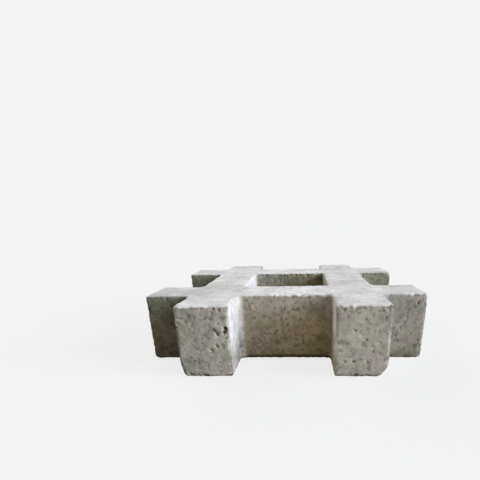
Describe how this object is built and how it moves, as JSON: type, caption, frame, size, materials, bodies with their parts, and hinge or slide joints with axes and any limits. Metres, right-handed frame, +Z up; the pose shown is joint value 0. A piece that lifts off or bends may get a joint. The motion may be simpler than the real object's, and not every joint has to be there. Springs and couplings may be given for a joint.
{
  "type": "concrete grass paver",
  "caption": "Hash-shaped block of pressed concrete whose crossing bars leave an open cell and bays for soil, laid edge to edge as a grassed pavement.",
  "frame": {"origin": "centre of the bedding face, on the ground", "axes": "+Z up, square to the wearing face; +X and +Y along the bars, with the pictured side facing -Y"},
  "size_m": [0.333, 0.333, 0.08],
  "materials": {
    "concrete": "pressed grey concrete, matt and granular, with small open pits; the wearing face paler and smoother"
  },
  "bodies": {
    "root": {"grass_paver": "concrete"}
  },
  "joints": []
}
